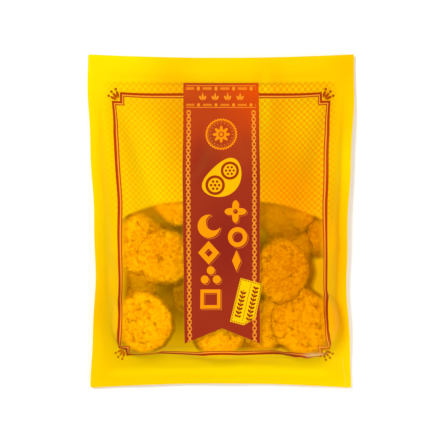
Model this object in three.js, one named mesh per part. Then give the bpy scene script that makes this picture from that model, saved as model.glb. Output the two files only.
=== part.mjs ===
// A heat-sealed film bag of round fried rice crackers, lying on its back panel.
// Millimetres, +Z up, +Y towards the bag's top seal. The origin is under the
// middle of the bag, on the surface that it lies on.

import * as THREE from 'three';

// The empty bag, laid flat: two panels sealed together on all four sides.
const SHEET = { width: 200, length: 250 };
const SEAL = { side: 7, top: 20, bottom: 12, thickness: 1 };

// Filling pulls the four sides in, most at the waist below the middle.
const WAIST = { pullIn: 6.0, height: -40, pullInAtBottom: 2.4 };
const END_PULL_IN = { top: 2.8, bottom: 3.4 };

// How high the seals hover over the surface: at the corners, and how much
// more halfway along the long and the short sides.
const HOVER = { corner: 2.6, longSides: 4.6, shortSides: 1.8 };

// The trapped air bends the panels out: curvature in 1/mm.
const AIR = { front: 0.0057, back: 0.02 };

// The contents: pucks with rounded rims, as [x, y, radius, underside]. Those of
// the upper layer press on the front panel; the last one leans on the side.
const CRACKER = { thickness: 10.5, rim: 0.55, film: 0.5 };
const LOWER_CRACKERS = [
  [-65, -47, 18.5, 4.2], [-17, -55, 20, 3.5], [33, -77, 19.5, 7.5], [28, -90, 15, 0.4],
  [53, -39, 19, 0.4], [50, -20, 18.5, 4], [-40, -18, 20, 0.4], [0, -20, 20, 0.4],
  [-56, 20, 20, 0.4], [-14, 22, 20, 0.4], [22, -36, 16, 0.4], [47, 10, 25, 4],
];
const UPPER_CRACKERS = [
  [-57, -75, 23, 9.8], [-2, -82, 20.5, 7.4], [61, -75, 25, 9], [-41, -27, 21.5, 10.8],
  [0, -44, 21, 10.6], [44, -37, 23, 10.2], [-60, -17, 22.5, 6.6], [-3, 0, 21, 11.2],
  [-29, 18, 23, 11.4], [75, -13, 14, 3],
];

// The mesh: square cells about 5.5 mm wide inside the seals.
const CELLS = { across: 34, along: 40, sideSeal: 1, topSeal: 3, bottomSeal: 2 };
const SETTLING_STEPS = 1500;

const halfWidth = SHEET.width / 2;
const halfLength = SHEET.length / 2;

// Distances across or along the sheet where the mesh has its lines.
function stations(edges, counts) {
  const places = [edges[0]];
  counts.forEach((count, part) => {
    for (let i = 1; i <= count; i++) {
      places.push(THREE.MathUtils.lerp(edges[part], edges[part + 1], i / count));
    }
  });
  return places;
}

const across = stations(
  [-halfWidth, -halfWidth + SEAL.side, halfWidth - SEAL.side, halfWidth],
  [CELLS.sideSeal, CELLS.across, CELLS.sideSeal],
);
const along = stations(
  [-halfLength, -halfLength + SEAL.bottom, halfLength - SEAL.top, halfLength],
  [CELLS.bottomSeal, CELLS.along, CELLS.topSeal],
);
const columns = across.length;
const rows = along.length;
const cell = (SHEET.width - 2 * SEAL.side) / CELLS.across;

function isSealed(column, row) {
  return column <= CELLS.sideSeal || column >= columns - 1 - CELLS.sideSeal
    || row <= CELLS.bottomSeal || row >= rows - 1 - CELLS.topSeal;
}

// How far a long side is pulled in at a height along the bag.
function sidePullIn(height) {
  const { pullIn, height: waist, pullInAtBottom } = WAIST;
  const reach = height > waist ? halfLength - waist : waist + halfLength;
  const atEnd = height > waist ? 0 : pullInAtBottom;
  const swing = (1 + Math.cos(Math.PI * (height - waist) / reach)) / 2;
  return atEnd + (pullIn - atEnd) * swing;
}

function endPullIn(side, end) {
  return end * (1 - (side / halfWidth) ** 2);
}

// Where a point of the flat sheet lies once the bag is filled, from above.
function placed(side, height) {
  const end = height > 0 ? END_PULL_IN.top : END_PULL_IN.bottom;
  return new THREE.Vector2(
    side * (1 - sidePullIn(height) / halfWidth),
    height * (1 - endPullIn(side, end) / halfLength),
  );
}

function hover(side, height) {
  return HOVER.corner
    + HOVER.longSides * (1 - (height / halfLength) ** 2)
    + HOVER.shortSides * (1 - (side / halfWidth) ** 2);
}

// The top of the crackers under a point, or the surface where there is none.
function contentsTop(point) {
  let top = 0;
  for (const [x, y, radius, underside] of [...LOWER_CRACKERS, ...UPPER_CRACKERS]) {
    const share = Math.hypot(point.x - x, point.y - y) / radius;
    if (share >= 1) continue;
    const swell = CRACKER.rim + (1 - CRACKER.rim) * Math.sqrt(1 - share ** 3);
    top = Math.max(top, underside + CRACKER.thickness * swell + CRACKER.film);
  }
  return top;
}

// A panel is a skin held at the seals: each free point settles at the mean of
// its neighbours, moved by the air, and never goes below what lies under it.
function settledPanel(sealOffset, airStep, floorUnder) {
  const height = [];
  const floor = [];
  for (let row = 0; row < rows; row++) {
    height.push(across.map((side) => hover(side, along[row]) + sealOffset));
    floor.push(across.map((side) => floorUnder(placed(side, along[row]))));
  }
  for (let step = 0; step < SETTLING_STEPS; step++) {
    for (let row = 1; row < rows - 1; row++) {
      for (let column = 1; column < columns - 1; column++) {
        if (isSealed(column, row)) continue;
        const mean = (height[row][column - 1] + height[row][column + 1]
          + height[row - 1][column] + height[row + 1][column]) / 4;
        height[row][column] = Math.max(floor[row][column], mean + airStep);
      }
    }
  }
  return height;
}

function bagGeometry() {
  const step = cell ** 2 / 4;
  const panels = [
    settledPanel(SEAL.thickness / 2, AIR.front * step, contentsTop),
    settledPanel(-SEAL.thickness / 2, -AIR.back * step, () => 0),
  ];
  const points = [];
  for (const panel of panels) {
    for (let row = 0; row < rows; row++) {
      for (let column = 0; column < columns; column++) {
        const { x, y } = placed(across[column], along[row]);
        points.push(x, y, panel[row][column]);
      }
    }
  }

  const faces = [];
  const front = (column, row) => row * columns + column;
  const back = (column, row) => rows * columns + front(column, row);
  const quad = (a, b, c, d) => faces.push(a, b, c, a, c, d);
  for (let row = 0; row < rows - 1; row++) {
    for (let column = 0; column < columns - 1; column++) {
      quad(front(column, row), front(column + 1, row), front(column + 1, row + 1), front(column, row + 1));
      quad(back(column, row), back(column, row + 1), back(column + 1, row + 1), back(column + 1, row));
    }
  }
  for (let column = 0; column < columns - 1; column++) {
    const last = rows - 1;
    quad(back(column, 0), back(column + 1, 0), front(column + 1, 0), front(column, 0));
    quad(front(column, last), front(column + 1, last), back(column + 1, last), back(column, last));
  }
  for (let row = 0; row < rows - 1; row++) {
    const last = columns - 1;
    quad(front(0, row), front(0, row + 1), back(0, row + 1), back(0, row));
    quad(back(last, row), back(last, row + 1), front(last, row + 1), front(last, row));
  }

  const geometry = new THREE.BufferGeometry();
  geometry.setAttribute('position', new THREE.Float32BufferAttribute(points, 3));
  geometry.setIndex(faces);
  geometry.computeVertexNormals();
  return geometry;
}

const film = new THREE.MeshStandardMaterial({ color: '#fdc802', roughness: 0.4, metalness: 0 });
const bag = new THREE.Mesh(bagGeometry(), film);
bag.name = 'bag';

const group = new THREE.Group();
group.add(bag);

export default group;
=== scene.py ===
# %% [markdown]
# # A film bag of rice crackers
# A flat heat-sealed bag lies on a white table, filled with round fried rice crackers. The film is
# printed: a yellow ground, a checked panel, a thin frame with a clear window in it, and a red ribbon.
# This lesson makes the crackers first, lets the film settle over them as cloth, and then prints it.
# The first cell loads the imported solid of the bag, which fixes the size and the place of all of it.

# %% Load the frame
import math

import bpy
import numpy as np
from mathutils import Matrix, Vector
from mathutils.bvhtree import BVHTree


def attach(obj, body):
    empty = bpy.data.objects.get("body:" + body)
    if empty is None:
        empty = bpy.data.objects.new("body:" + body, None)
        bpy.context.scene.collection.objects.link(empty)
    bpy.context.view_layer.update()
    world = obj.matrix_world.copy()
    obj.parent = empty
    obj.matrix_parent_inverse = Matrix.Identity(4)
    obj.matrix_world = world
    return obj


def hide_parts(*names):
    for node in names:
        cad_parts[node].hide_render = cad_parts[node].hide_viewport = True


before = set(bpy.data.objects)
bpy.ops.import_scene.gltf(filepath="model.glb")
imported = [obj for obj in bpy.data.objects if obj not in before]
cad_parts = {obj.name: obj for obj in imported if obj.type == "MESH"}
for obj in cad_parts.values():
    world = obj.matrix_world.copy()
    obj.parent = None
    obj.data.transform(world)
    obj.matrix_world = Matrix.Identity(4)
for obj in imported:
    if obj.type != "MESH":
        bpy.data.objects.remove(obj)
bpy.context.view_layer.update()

# %% [markdown]
# ## Sizes
# The bag is two panels of film, 200 by 250 mm, sealed together on all four sides. Filling it pulls
# the sides in, most at the waist. Everything is built ten times too large and brought down at the
# end, because Blender's cloth keeps its distance from other things by a millimetre at least, and
# that is far too much for film.

# %% The bag's driving sizes
WORKSHOP = 10.0
MM = 0.001 * WORKSHOP

SHEET_WIDTH = 200.0
SHEET_LENGTH = 250.0
HALF_WIDTH = SHEET_WIDTH / 2
HALF_LENGTH = SHEET_LENGTH / 2
SIDE_SEAL = 7.5
TOP_SEAL = 20.0
BOTTOM_SEAL = 12.5
SEAL_THICKNESS = 0.5

WAIST_PULL = 6.0
WAIST_HEIGHT = -40.0
BOTTOM_CORNER_PULL = 2.4
TOP_PULL = 2.8
BOTTOM_PULL = 3.4

CORNER_HOVER = 2.6
LONG_SIDE_HOVER = 4.6
SHORT_SIDE_HOVER = 1.8

print("open inside:", SHEET_WIDTH - 2 * SIDE_SEAL, "by", SHEET_LENGTH - TOP_SEAL - BOTTOM_SEAL, "mm")


# %% [markdown]
# ## Small helpers
# An operator acts on whatever is selected, so every step starts by selecting just what it needs.
# A modifier is a promise until it is applied; here each is applied as soon as it is set up.

# %% Select, apply, bring to real size
def select_only(thing):
    if bpy.context.object and bpy.context.object.mode != "OBJECT":
        bpy.ops.object.mode_set(mode="OBJECT")
    bpy.ops.object.select_all(action="DESELECT")
    thing.select_set(True)
    bpy.context.view_layer.objects.active = thing


def apply_modifier(thing, kind, **settings):
    select_only(thing)
    modifier = thing.modifiers.new(kind.lower(), kind)
    for name, value in settings.items():
        setattr(modifier, name, value)
    bpy.ops.object.modifier_apply(modifier=modifier.name)


def bring_to_real_size(thing):
    select_only(thing)
    thing.scale = (1 / WORKSHOP,) * 3
    bpy.ops.object.transform_apply(location=True, rotation=True, scale=True)


def corners_of(thing):
    places = np.empty(len(thing.data.vertices) * 3)
    thing.data.vertices.foreach_get("co", places)
    return places.reshape(-1, 3)


# %% [markdown]
# ## Where the crackers lie
# Twenty-two crackers lie in two loose layers. A row gives the middle of a cracker, its radius, how
# much longer it is along Y than across, the height of its underside, and how far it leans, in
# degrees, about the X and Y axes. They are listed one by one and not dropped by a simulation, because
# the window shows some of them and each of those has its own place.

# %% The contents
CRACKER_THICKNESS = 10.5
UPPER_CRACKERS = [
    (-57, -75, 23.0, 1.03, 9.8, 4, -4),
    (-2, -82, 20.5, 1.00, 7.4, 7, 0),
    (61, -75, 24.5, 1.06, 9.0, 4, 3),
    (-41, -27, 21.5, 1.00, 10.8, 3, -3),
    (0, -44, 21.0, 1.00, 10.6, -2, 2),
    (44, -37, 21.5, 1.15, 10.2, 2, 3),
    (-60, -17, 21.5, 1.08, 6.6, -4, -6),
    (-3, 0, 21.0, 1.00, 11.2, -3, 2),
    (-29, 18, 23.0, 1.00, 11.4, -5, 0),
    (75, -13, 12.0, 1.30, 3.0, 0, 16),
]
LOWER_CRACKERS = [
    (-65, -47, 18.5, 1.00, 4.2, 0, -2),
    (-17, -55, 20.0, 1.00, 3.5, 0, 0),
    (33, -77, 19.5, 1.00, 7.5, 3, 0),
    (28, -90, 15.0, 1.00, 0.4, 0, 0),
    (53, -39, 19.0, 1.00, 0.4, 0, 0),
    (50, -20, 18.5, 1.00, 4.0, 4, 3),
    (-40, -18, 20.0, 1.00, 0.4, 0, 0),
    (0, -20, 20.0, 1.00, 0.4, 0, 0),
    (-56, 20, 20.0, 1.00, 0.4, 0, 0),
    (-14, 22, 20.0, 1.00, 0.4, 0, 0),
    (22, -36, 16.0, 1.00, 0.4, 0, 0),
    (47, 10, 25.0, 1.00, 3.6, 4, 5),
]
print(len(UPPER_CRACKERS), "crackers above and", len(LOWER_CRACKERS), "below")


# %% [markdown]
# ## A cracker's plain body
# A cracker is a thick round puck with a soft rim. A cylinder with its two rims bevelled makes one.
# A ball pressed flat would do too, but its rim comes out too sharp. The film settles on these smooth
# bodies, and the bubbles are raised on them only after that.

# %% Puck
RIM_SHARE = 0.42
RIM_SEGMENTS = 3
ROUND_SEGMENTS = 40


def puck(x, y, radius, oval, underside, lean_x, lean_y):
    """A smooth puck at workshop size, with its place and its lean in its mesh."""
    thickness = CRACKER_THICKNESS * MM
    bpy.ops.object.select_all(action="DESELECT")
    bpy.ops.mesh.primitive_cylinder_add(vertices=ROUND_SEGMENTS, radius=radius * MM, depth=thickness)
    body = bpy.context.object
    body.name = "puck"
    rim = thickness * RIM_SHARE
    apply_modifier(body, "BEVEL", width=rim, segments=RIM_SEGMENTS, limit_method="ANGLE")
    lean = Matrix.Rotation(math.radians(lean_x), 4, "X") @ Matrix.Rotation(math.radians(lean_y), 4, "Y")
    body.data.transform(lean @ Matrix.Diagonal((1, oval, 1, 1)))
    lowest = corners_of(body)[:, 2].min()
    body.data.transform(Matrix.Translation((x * MM, y * MM, underside * MM - lowest)))
    return body


pucks = [puck(*row) for row in UPPER_CRACKERS + LOWER_CRACKERS]
print("highest cracker", round(max(corners_of(body)[:, 2].max() for body in pucks) / MM, 1), "mm")


# %% [markdown]
# ## The bag's outline
# Four small functions say where a point of the flat sheet goes once the bag is full: how far it is
# pulled in, how high its seal hovers over the table, and whether it is in a seal at all. The seals
# also wave a little, because hot bars never close quite flat.

# %% From the flat sheet to the filled bag
# The long sides wave in and out. A start is in radians.
SIDE_WAVE = 0.35
SIDE_WAVE_LENGTH = 56.0
RIGHT_SIDE_START = 1.3

# The seals wave up and down. A run is the length in which a wave goes through one radian.
SEAL_WAVE = 0.5
LONG_SEAL_RUN = 11
LEFT_SEAL_START = 0.4
RIGHT_SEAL_START = 2.0
END_SEAL_RUN = 10
END_SEAL_START = 1
SEAL_WAVE_POWER = 8
ROUNDING = 0.01


def side_pull(height):
    """How far a long side is pulled in: a cosine swing from the waist to both ends."""
    above = height > WAIST_HEIGHT
    reach = HALF_LENGTH - WAIST_HEIGHT if above else WAIST_HEIGHT + HALF_LENGTH
    at_end = 0.0 if above else BOTTOM_CORNER_PULL
    swing = (1 + math.cos(math.pi * (height - WAIST_HEIGHT) / reach)) / 2
    return at_end + (WAIST_PULL - at_end) * swing


def placed(side, height):
    """Where a point of the flat sheet is once the bag is full, seen from above."""
    start = RIGHT_SIDE_START if side > 0 else 0
    wave = SIDE_WAVE * math.sin(2 * math.pi * height / SIDE_WAVE_LENGTH + start)
    end = TOP_PULL if height > 0 else BOTTOM_PULL
    across = side * (1 - (side_pull(height) + wave) / HALF_WIDTH)
    along = height * (1 - end * (1 - (side / HALF_WIDTH) ** 2) / HALF_LENGTH)
    return across, along


def hover(side, height):
    """The height of the seals. Each edge has its own wave, which dies out away from it."""
    u = side / HALF_WIDTH
    v = height / HALF_LENGTH
    start = RIGHT_SEAL_START if side > 0 else LEFT_SEAL_START
    long_wave = math.sin(height / LONG_SEAL_RUN + start) * abs(u) ** SEAL_WAVE_POWER
    end_wave = math.sin(side / END_SEAL_RUN + END_SEAL_START) * abs(v) ** SEAL_WAVE_POWER
    lift = CORNER_HOVER + LONG_SIDE_HOVER * (1 - v * v) + SHORT_SIDE_HOVER * (1 - u * u)
    return lift + SEAL_WAVE * (long_wave + end_wave * (1 - u ** 4))


def sealed(side, height):
    in_side = abs(side) > HALF_WIDTH - SIDE_SEAL - ROUNDING
    in_top = height > HALF_LENGTH - TOP_SEAL - ROUNDING
    in_bottom = height < BOTTOM_SEAL - HALF_LENGTH + ROUNDING
    return in_side or in_top or in_bottom


print("width at the waist", round(2 * placed(HALF_WIDTH, WAIST_HEIGHT)[0], 1), "mm")

# %% [markdown]
# ## The empty bag
# A grid is the front panel. It is duplicated and dropped by the seal's thickness for the back panel,
# whose faces are flipped, and the two open rims are bridged, so the bag is one closed skin. Its cells
# are 2.5 mm, fine enough for the puckers beside a seal.

# %% Two panels and a rim
CELL = 2.5
cells_across = round(SHEET_WIDTH / CELL)
cells_along = round(SHEET_LENGTH / CELL)

bpy.ops.object.select_all(action="DESELECT")
bpy.ops.mesh.primitive_grid_add(x_subdivisions=cells_across, y_subdivisions=cells_along, size=1)
film = bpy.context.object
film.name = "film"
bpy.ops.object.mode_set(mode="EDIT")
bpy.ops.mesh.select_all(action="SELECT")
bpy.ops.transform.resize(value=(SHEET_WIDTH * MM, SHEET_LENGTH * MM, 1))
bpy.ops.transform.translate(value=(0, 0, SEAL_THICKNESS / 2 * MM))
bpy.ops.mesh.duplicate()
bpy.ops.transform.translate(value=(0, 0, -SEAL_THICKNESS * MM))
bpy.ops.mesh.flip_normals()
bpy.ops.mesh.select_all(action="DESELECT")
bpy.ops.mesh.select_mode(type="EDGE")
bpy.ops.mesh.select_non_manifold()
bpy.ops.mesh.bridge_edge_loops()
bpy.ops.mesh.select_mode(type="VERT")
bpy.ops.mesh.select_all(action="SELECT")
bpy.ops.mesh.normals_make_consistent(inside=False)
bpy.ops.object.mode_set(mode="OBJECT")
flat = corners_of(film) / MM
on_front = flat[:, 2] > 0
print("film:", len(film.data.vertices), "points and", len(film.data.polygons), "faces")

# %% [markdown]
# ## Two shapes of the same skin
# The cloth needs to know how large the film is when nothing pulls on it, and where it starts. Two
# shape keys say so: "flat" is the sheet as cut, and "filled" has the seals in their final places and
# the front panel held well clear above the crackers. The seals go into a vertex group that pins them.

# %% Shape keys and pins
START_CROWN = 24.0
CROWN_POWER = 5
START_CLEARANCE = 2.0
BACK_HEIGHT = 0.6
HIGH_ABOVE = 1.0
graph = bpy.context.evaluated_depsgraph_get()
puck_trees = [BVHTree.FromObject(body, graph) for body in pucks]


def contents_top(x, y):
    """The height of the highest cracker under a point, in millimetres."""
    start = Vector((x * MM, y * MM, HIGH_ABOVE))
    hits = [tree.ray_cast(start, Vector((0, 0, -1)))[0] for tree in puck_trees]
    return max([hit.z / MM for hit in hits if hit], default=0.0)


def filled_place(side, height, layer):
    x, y = placed(side, height)
    seal = hover(side, height)
    if sealed(side, height):
        return x, y, seal + layer
    u = side / (HALF_WIDTH - SIDE_SEAL)
    v = (height + (TOP_SEAL - BOTTOM_SEAL) / 2) / (HALF_LENGTH - (TOP_SEAL + BOTTOM_SEAL) / 2)
    bulge = (1 - abs(u) ** CROWN_POWER) * (1 - abs(v) ** CROWN_POWER)
    if layer < 0:
        return x, y, max(BACK_HEIGHT, (seal + layer) * (1 - bulge) ** 2)
    return x, y, max(seal + layer + START_CROWN * bulge, contents_top(x, y) + START_CLEARANCE)


select_only(film)
bpy.ops.object.shape_key_add(from_mix=False)
bpy.ops.object.shape_key_add(from_mix=False)
flat_key, filled_key = film.data.shape_keys.key_blocks
flat_key.name = "flat"
filled_key.name = "filled"
filled_key.value = 1.0
start_shape = np.array([filled_place(*point) for point in flat]) * MM
filled_key.data.foreach_set("co", start_shape.ravel())

pins = film.vertex_groups.new(name="seals")
sealed_points = [i for i, (side, height, _) in enumerate(flat) if sealed(side, height)]
pins.add(sealed_points, 1.0, "REPLACE")
print(len(sealed_points), "points are pinned in the seals")

# %% [markdown]
# ## What the film may not pass through
# Cloth falls through everything that isn't told to stop it. The crackers and the table are made
# collision objects, each with a thin skin that the film keeps clear of. The table here is a stand-in
# that goes again once the film has settled.

# %% Collisions
COLLISION_GAP = 0.002
CLOTH_TABLE_SIZE = 6


def make_solid_for_cloth(thing):
    select_only(thing)
    bpy.ops.object.modifier_add(type="COLLISION")
    thing.collision.thickness_outer = COLLISION_GAP
    thing.collision.cloth_friction = 2.0


for body in pucks:
    make_solid_for_cloth(body)
bpy.ops.object.select_all(action="DESELECT")
bpy.ops.mesh.primitive_plane_add(size=CLOTH_TABLE_SIZE, location=(0, 0, 0))
cloth_table = bpy.context.object
make_solid_for_cloth(cloth_table)
print("the film keeps clear of", len(pucks), "crackers and the table")

# %% [markdown]
# ## Letting the film settle
# Cloth with a little air pressure inside first puffs the bag up and then, as the pressure is let
# down, sinks until it rests on the crackers. The film is stiff along itself and bends easily, and it
# has sprung back by one and a half percent, which keeps it taut. The pressure is keyed from frame to
# frame, and gravity is low, as film weighs next to nothing. Sculpting could draw puckers too, but
# cloth puts them where the seals really gather the film.

# %% Cloth
LAST_FRAME = 60
PRESSURE_KEYS = {1: 0.5, 15: 0.5, 30: 0.05, 60: 0.02}
GRAVITY_KEYS = {1: 0.0, 20: 0.0, 30: 0.08, 60: 0.08}

select_only(film)
bpy.ops.object.modifier_add(type="CLOTH")
cloth = film.modifiers[0]
film_cloth = cloth.settings
film_cloth.quality = 6
film_cloth.mass = 0.1
film_cloth.air_damping = 2.0
film_cloth.tension_stiffness = 60
film_cloth.compression_stiffness = 60
film_cloth.shear_stiffness = 20
film_cloth.bending_stiffness = 2.0
film_cloth.tension_damping = 10
film_cloth.compression_damping = 10
film_cloth.shear_damping = 5
film_cloth.bending_damping = 1
film_cloth.shrink_min = 0.015
film_cloth.vertex_group_mass = pins.name
film_cloth.rest_shape_key = flat_key
film_cloth.use_pressure = True
for at, pressure in PRESSURE_KEYS.items():
    film_cloth.uniform_pressure_force = pressure
    film_cloth.keyframe_insert("uniform_pressure_force", frame=at)
for at, gravity in GRAVITY_KEYS.items():
    film_cloth.effector_weights.gravity = gravity
    film_cloth.effector_weights.keyframe_insert("gravity", frame=at)
cloth.collision_settings.use_self_collision = False
cloth.collision_settings.distance_min = 2 * COLLISION_GAP
cloth.point_cache.frame_start = 1
cloth.point_cache.frame_end = LAST_FRAME
for at in range(1, LAST_FRAME + 1):
    bpy.context.scene.frame_set(at)

bpy.ops.object.modifier_apply_as_shapekey(modifier=cloth.name)
filled_key.value = 0.0
film.data.shape_keys.key_blocks[-1].value = 1.0
bpy.ops.object.shape_key_remove(all=True, apply_mix=True)
film.data.animation_data_clear()
film.animation_data_clear()
bpy.context.scene.frame_set(1)
print("film stands", round(corners_of(film)[:, 2].max() / MM, 1), "mm high")

# %% [markdown]
# ## The sheet's own map
# The print has to bend with the film, so it can't be laid on by places in space. Each point keeps
# where it was on the flat sheet, in millimetres, in a UV map called "sheet". Nothing else is needed
# to print lines and shapes exactly where they would be on the flat film. A second map, "OFBake",
# lays the two panels out side by side, for programs that want the print as a picture.

# %% UV maps
FRONT_SHARE = 0.66
MAP_MARGIN = 0.006


def write_map(name, places):
    """Gives each face corner the place of its point."""
    layer = film.data.uv_layers.new(name=name)
    of_corner = np.empty(len(film.data.loops), int)
    film.data.loops.foreach_get("vertex_index", of_corner)
    layer.uv.foreach_set("vector", places[of_corner].ravel())


for old in list(film.data.uv_layers):
    film.data.uv_layers.remove(old)
write_map("sheet", flat[:, :2])
share = flat[:, :2] / (SHEET_WIDTH, SHEET_LENGTH) + 0.5
room = 1 - 4 * MAP_MARGIN
left = np.where(on_front, MAP_MARGIN, 1 - MAP_MARGIN - (1 - FRONT_SHARE) * room)
width = np.where(on_front, FRONT_SHARE, 1 - FRONT_SHARE) * room
low = MAP_MARGIN + share[:, 1] * (1 - 2 * MAP_MARGIN)
write_map("OFBake", np.column_stack((left + share[:, 0] * width, low)))
print("maps:", [layer.name for layer in film.data.uv_layers])

# %% [markdown]
# ## Finishing the film
# The faces that were the back panel get a material slot of their own. One level of subdivision takes
# the corners off the settled cells, and the film comes down to its real size. Smoothing can carry a
# point a hair below the table, so every point is then kept on it or above it.

# %% Smooth and scale
front_ink = bpy.data.materials.new("printed front film")
back_ink = bpy.data.materials.new("yellow back film")
film.data.materials.append(front_ink)
film.data.materials.append(back_ink)
for face in film.data.polygons:
    face.material_index = 0 if all(on_front[i] for i in face.vertices) else 1
apply_modifier(film, "SUBSURF", levels=1, render_levels=1, uv_smooth="NONE")
bring_to_real_size(film)
for point in film.data.vertices:
    point.co.z = max(point.co.z, 0.0)
select_only(film)
bpy.ops.object.shade_smooth()
print("film:", len(film.data.polygons), "faces")

# %% [markdown]
# ## Bubbles on a cracker
# Fried rice dough blisters all over. A puck is remeshed into even little cells, and three Displace
# modifiers push them out: wide swells for the uneven outline, round blisters from a Voronoi pattern
# turned upside down, and fine crumbs on top. The patterns read the place in the world, so every
# cracker gets its own.

# %% Textures for the blisters
# The pattern, the size of its features, how far it pushes, and which of its greys stays in place.
DOUGH_PATTERNS = {
    "swells": ("CLOUDS", 14.0, 3.2, 0.5),
    "blisters": ("VORONOI", 5.0, -2.0, 0.35),
    "crumbs": ("VORONOI", 2.0, -1.1, 0.35),
}
pushes = []
for name, (pattern, size, strength, middle) in DOUGH_PATTERNS.items():
    texture = bpy.data.textures.new(name, pattern)
    texture.noise_scale = size * MM
    pushes.append({"texture": texture, "strength": strength * MM, "mid_level": middle})
print("textures:", [texture.name for texture in bpy.data.textures])

# %% [markdown]
# ## Every cracker blistered
# The crackers on top are seen, so their cells are finer than those below. Cells half as wide are
# four times as many, which is the reason not to be generous.

# %% Blistered crackers
UPPER_CELL = 0.75
LOWER_CELL = 1.0


def blister(body, cell):
    apply_modifier(body, "REMESH", mode="VOXEL", voxel_size=cell * MM)
    for push in pushes:
        apply_modifier(body, "DISPLACE", texture_coords="GLOBAL", **push)


for body in pucks:
    body.modifiers.clear()
for number, body in enumerate(pucks):
    blister(body, UPPER_CELL if number < len(UPPER_CRACKERS) else LOWER_CELL)
print("points on the first cracker:", len(pucks[0].data.vertices))

# %% [markdown]
# ## Crackers that give way to one another
# Crackers packed into a bag press into each other. The highest keeps its shape, and each next one is
# dented where it would run into one above it: a point that is over the other's underside is moved
# out past its rim or down under it, whichever is nearer. A Boolean would cut the same place away,
# but it leaves thin slivers behind.

# %% Dents
DENT_CLEARANCE = 0.1 * MM
UP = Vector((0, 0, 1))


def dent(body, above):
    """Moves the points of a body out of the space that a higher one takes up."""
    tree = BVHTree.FromObject(above, bpy.context.evaluated_depsgraph_get())
    corners = corners_of(above)
    middle = Vector(corners.mean(axis=0))
    reach = np.linalg.norm(corners - corners.mean(axis=0), axis=1).max()
    moved = 0
    for point in body.data.vertices:
        aside = Vector((point.co.x - middle.x, point.co.y - middle.y, 0))
        if aside.length > reach:
            continue
        under = tree.ray_cast(Vector((point.co.x, point.co.y, -reach)), UP)[0]
        if under is None or point.co.z < under.z - DENT_CLEARANCE:
            continue
        rim = tree.ray_cast(middle + aside.normalized() * 2 * reach, -aside)[0]
        if rim is not None and (rim - middle).length - aside.length < point.co.z - under.z:
            past_rim = rim + aside.normalized() * DENT_CLEARANCE
            point.co.xy = past_rim.xy
        else:
            point.co.z = under.z - DENT_CLEARANCE
        moved += 1
    body.data.update()
    return moved


from_the_top = sorted(pucks, key=lambda body: -corners_of(body)[:, 2].mean())
moved = sum(dent(body, above) for i, body in enumerate(from_the_top) for above in from_the_top[:i])
print("points moved where crackers meet:", moved)

# %% [markdown]
# ## Two pieces out of twenty-two
# Nothing on a cracker moves by itself, so each layer is joined into one object. That leaves three
# pieces to hand over, the film and two layers, in place of twenty-three. Both layers then come down
# to their real size, and the cloth's table goes.

# %% The two layers of crackers
def joined(bodies, name):
    bpy.ops.object.select_all(action="DESELECT")
    for body in bodies:
        body.select_set(True)
    bpy.context.view_layer.objects.active = bodies[0]
    bpy.ops.object.join()
    whole = bpy.context.object
    whole.name = name
    return whole


upper_crackers = joined(pucks[: len(UPPER_CRACKERS)], "upper_crackers")
lower_crackers = joined(pucks[len(UPPER_CRACKERS) :], "lower_crackers")
for layer in (upper_crackers, lower_crackers):
    bring_to_real_size(layer)
    bpy.ops.object.shade_smooth()
    print(layer.name, len(layer.data.polygons), "faces")
bpy.data.objects.remove(cloth_table)

# %% [markdown]
# ## Pressing the crackers against the film
# Some blisters stand higher than the smooth bodies that the film settled on. Where one does, the
# film holds it down: each point that comes within a hair of the film over it, or of the film under
# it, is moved back inside.

# %% Press
FILM_CLEARANCE = 0.0003
SMALLEST_MOVE = 1e-6
OVER_THE_BAG = 0.2
film_tree = BVHTree.FromObject(film, bpy.context.evaluated_depsgraph_get())


def press_inside(layer):
    pressed = 0
    for point in layer.data.vertices:
        start = Vector((point.co.x, point.co.y, OVER_THE_BAG))
        top = film_tree.ray_cast(start, -UP)[0]
        bottom = film_tree.ray_cast(start - UP, UP)[0]
        if top is None:
            continue
        height = min(max(point.co.z, bottom.z + FILM_CLEARANCE), top.z - FILM_CLEARANCE)
        if abs(height - point.co.z) > SMALLEST_MOVE:
            point.co.z = height
            pressed += 1
    layer.data.update()
    return pressed


for layer in (upper_crackers, lower_crackers):
    print(layer.name, press_inside(layer), "points pressed in by the film")

# %% [markdown]
# ## How far the film hangs over the crackers
# Satin film shows what touches it and veils what lies deeper. The distance from each point of the
# film straight down to the first cracker, in millimetres, goes into an attribute called "gap", which
# the film's material reads later. Averaging it with its neighbours a few times takes out the steps.

# %% Gap attribute
DEEPEST_GAP = 25.0
GAP_SMOOTHINGS = 12
graph = bpy.context.evaluated_depsgraph_get()
cracker_trees = [BVHTree.FromObject(layer, graph) for layer in (upper_crackers, lower_crackers)]
gap = film.data.attributes.new("gap", "FLOAT", "POINT")
gaps = np.full(len(film.data.vertices), DEEPEST_GAP)
for number, point in enumerate(film.data.vertices):
    hits = [tree.ray_cast(point.co, -UP)[3] for tree in cracker_trees]
    depths = [depth * 1000 for depth in hits if depth is not None]
    gaps[number] = min(depths + [DEEPEST_GAP])
edge_ends = np.empty(len(film.data.edges) * 2, int)
film.data.edges.foreach_get("vertices", edge_ends)
one, other = edge_ends.reshape(-1, 2).T
neighbours = np.bincount(one, minlength=len(gaps)) + np.bincount(other, minlength=len(gaps))
for _ in range(GAP_SMOOTHINGS):
    total = np.bincount(one, gaps[other], len(gaps)) + np.bincount(other, gaps[one], len(gaps))
    gaps = (gaps + total / neighbours) / 2
gap.data.foreach_set("value", gaps)
print("touching:", int((gaps < 1).sum()), "of", len(gaps), "points")

# %% [markdown]
# ## Drawing with numbers
# The print is drawn by arithmetic and not with a picture: a shape is the distance to its edge, less
# than nothing inside. A disc is the distance from its middle less its radius, and the larger of two
# distances is where two shapes overlap. This small class turns such sums into Math nodes, so that
# the print stays sharp at any size.

# %% Fields
EDGE_SOFTNESS = 0.3


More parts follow.
